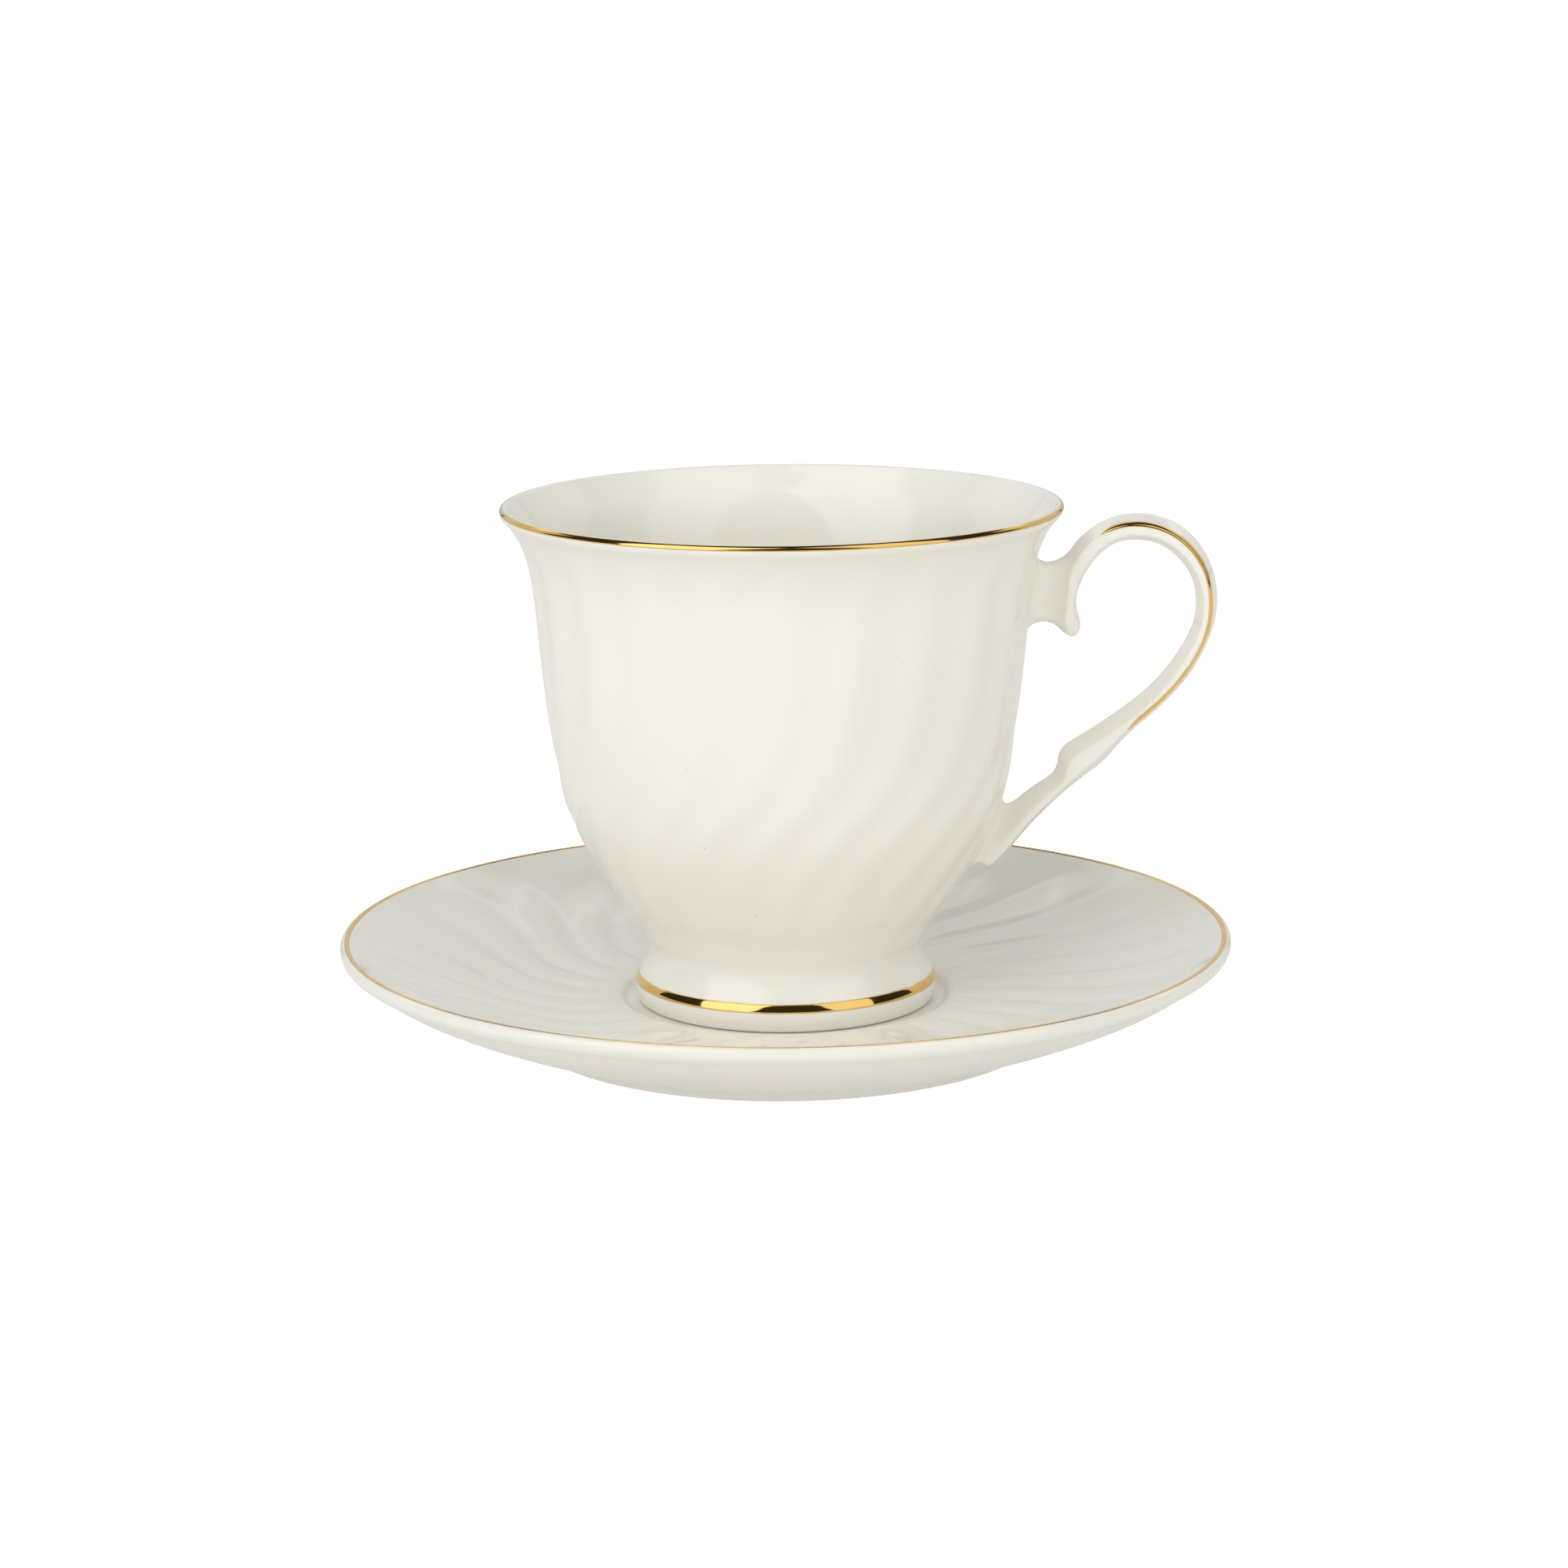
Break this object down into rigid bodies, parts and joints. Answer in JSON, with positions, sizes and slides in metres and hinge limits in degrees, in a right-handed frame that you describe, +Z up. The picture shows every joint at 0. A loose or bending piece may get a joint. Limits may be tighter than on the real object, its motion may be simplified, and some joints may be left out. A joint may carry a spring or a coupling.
{
  "type": "footed teacup and saucer",
  "caption": "Footed porcelain teacup with spiral flutes, scroll handle and gold lines, standing in the recessed seat of its fluted saucer.",
  "frame": {"origin": "centre of the saucer's foot ring on the surface it stands on", "axes": "+Z up the common axis of cup and saucer, +X towards the handle"},
  "size_m": [0.1502, 0.1502, 0.0907],
  "materials": {
    "porcelain_cup": "warm ivory porcelain under a clear gloss glaze",
    "porcelain_saucer": "warm ivory porcelain under a clear gloss glaze",
    "gold": "burnished fired gold, mirror bright"
  },
  "bodies": {
    "saucer": {"saucer": "porcelain_saucer", "saucer_gilding": "gold"},
    "cup": {"cup_bowl": "porcelain_cup", "cup_foot": "porcelain_cup", "cup_handle": "porcelain_cup", "cup_rim_gilding": "gold", "cup_foot_gilding": "gold", "handle_gilding": "gold"}
  },
  "joints": [
    {"name": "cup_lift", "type": "slide", "parent": "saucer", "child": "cup", "axis": [0, 0, 1], "range_m": [0, 0.12]}
  ]
}
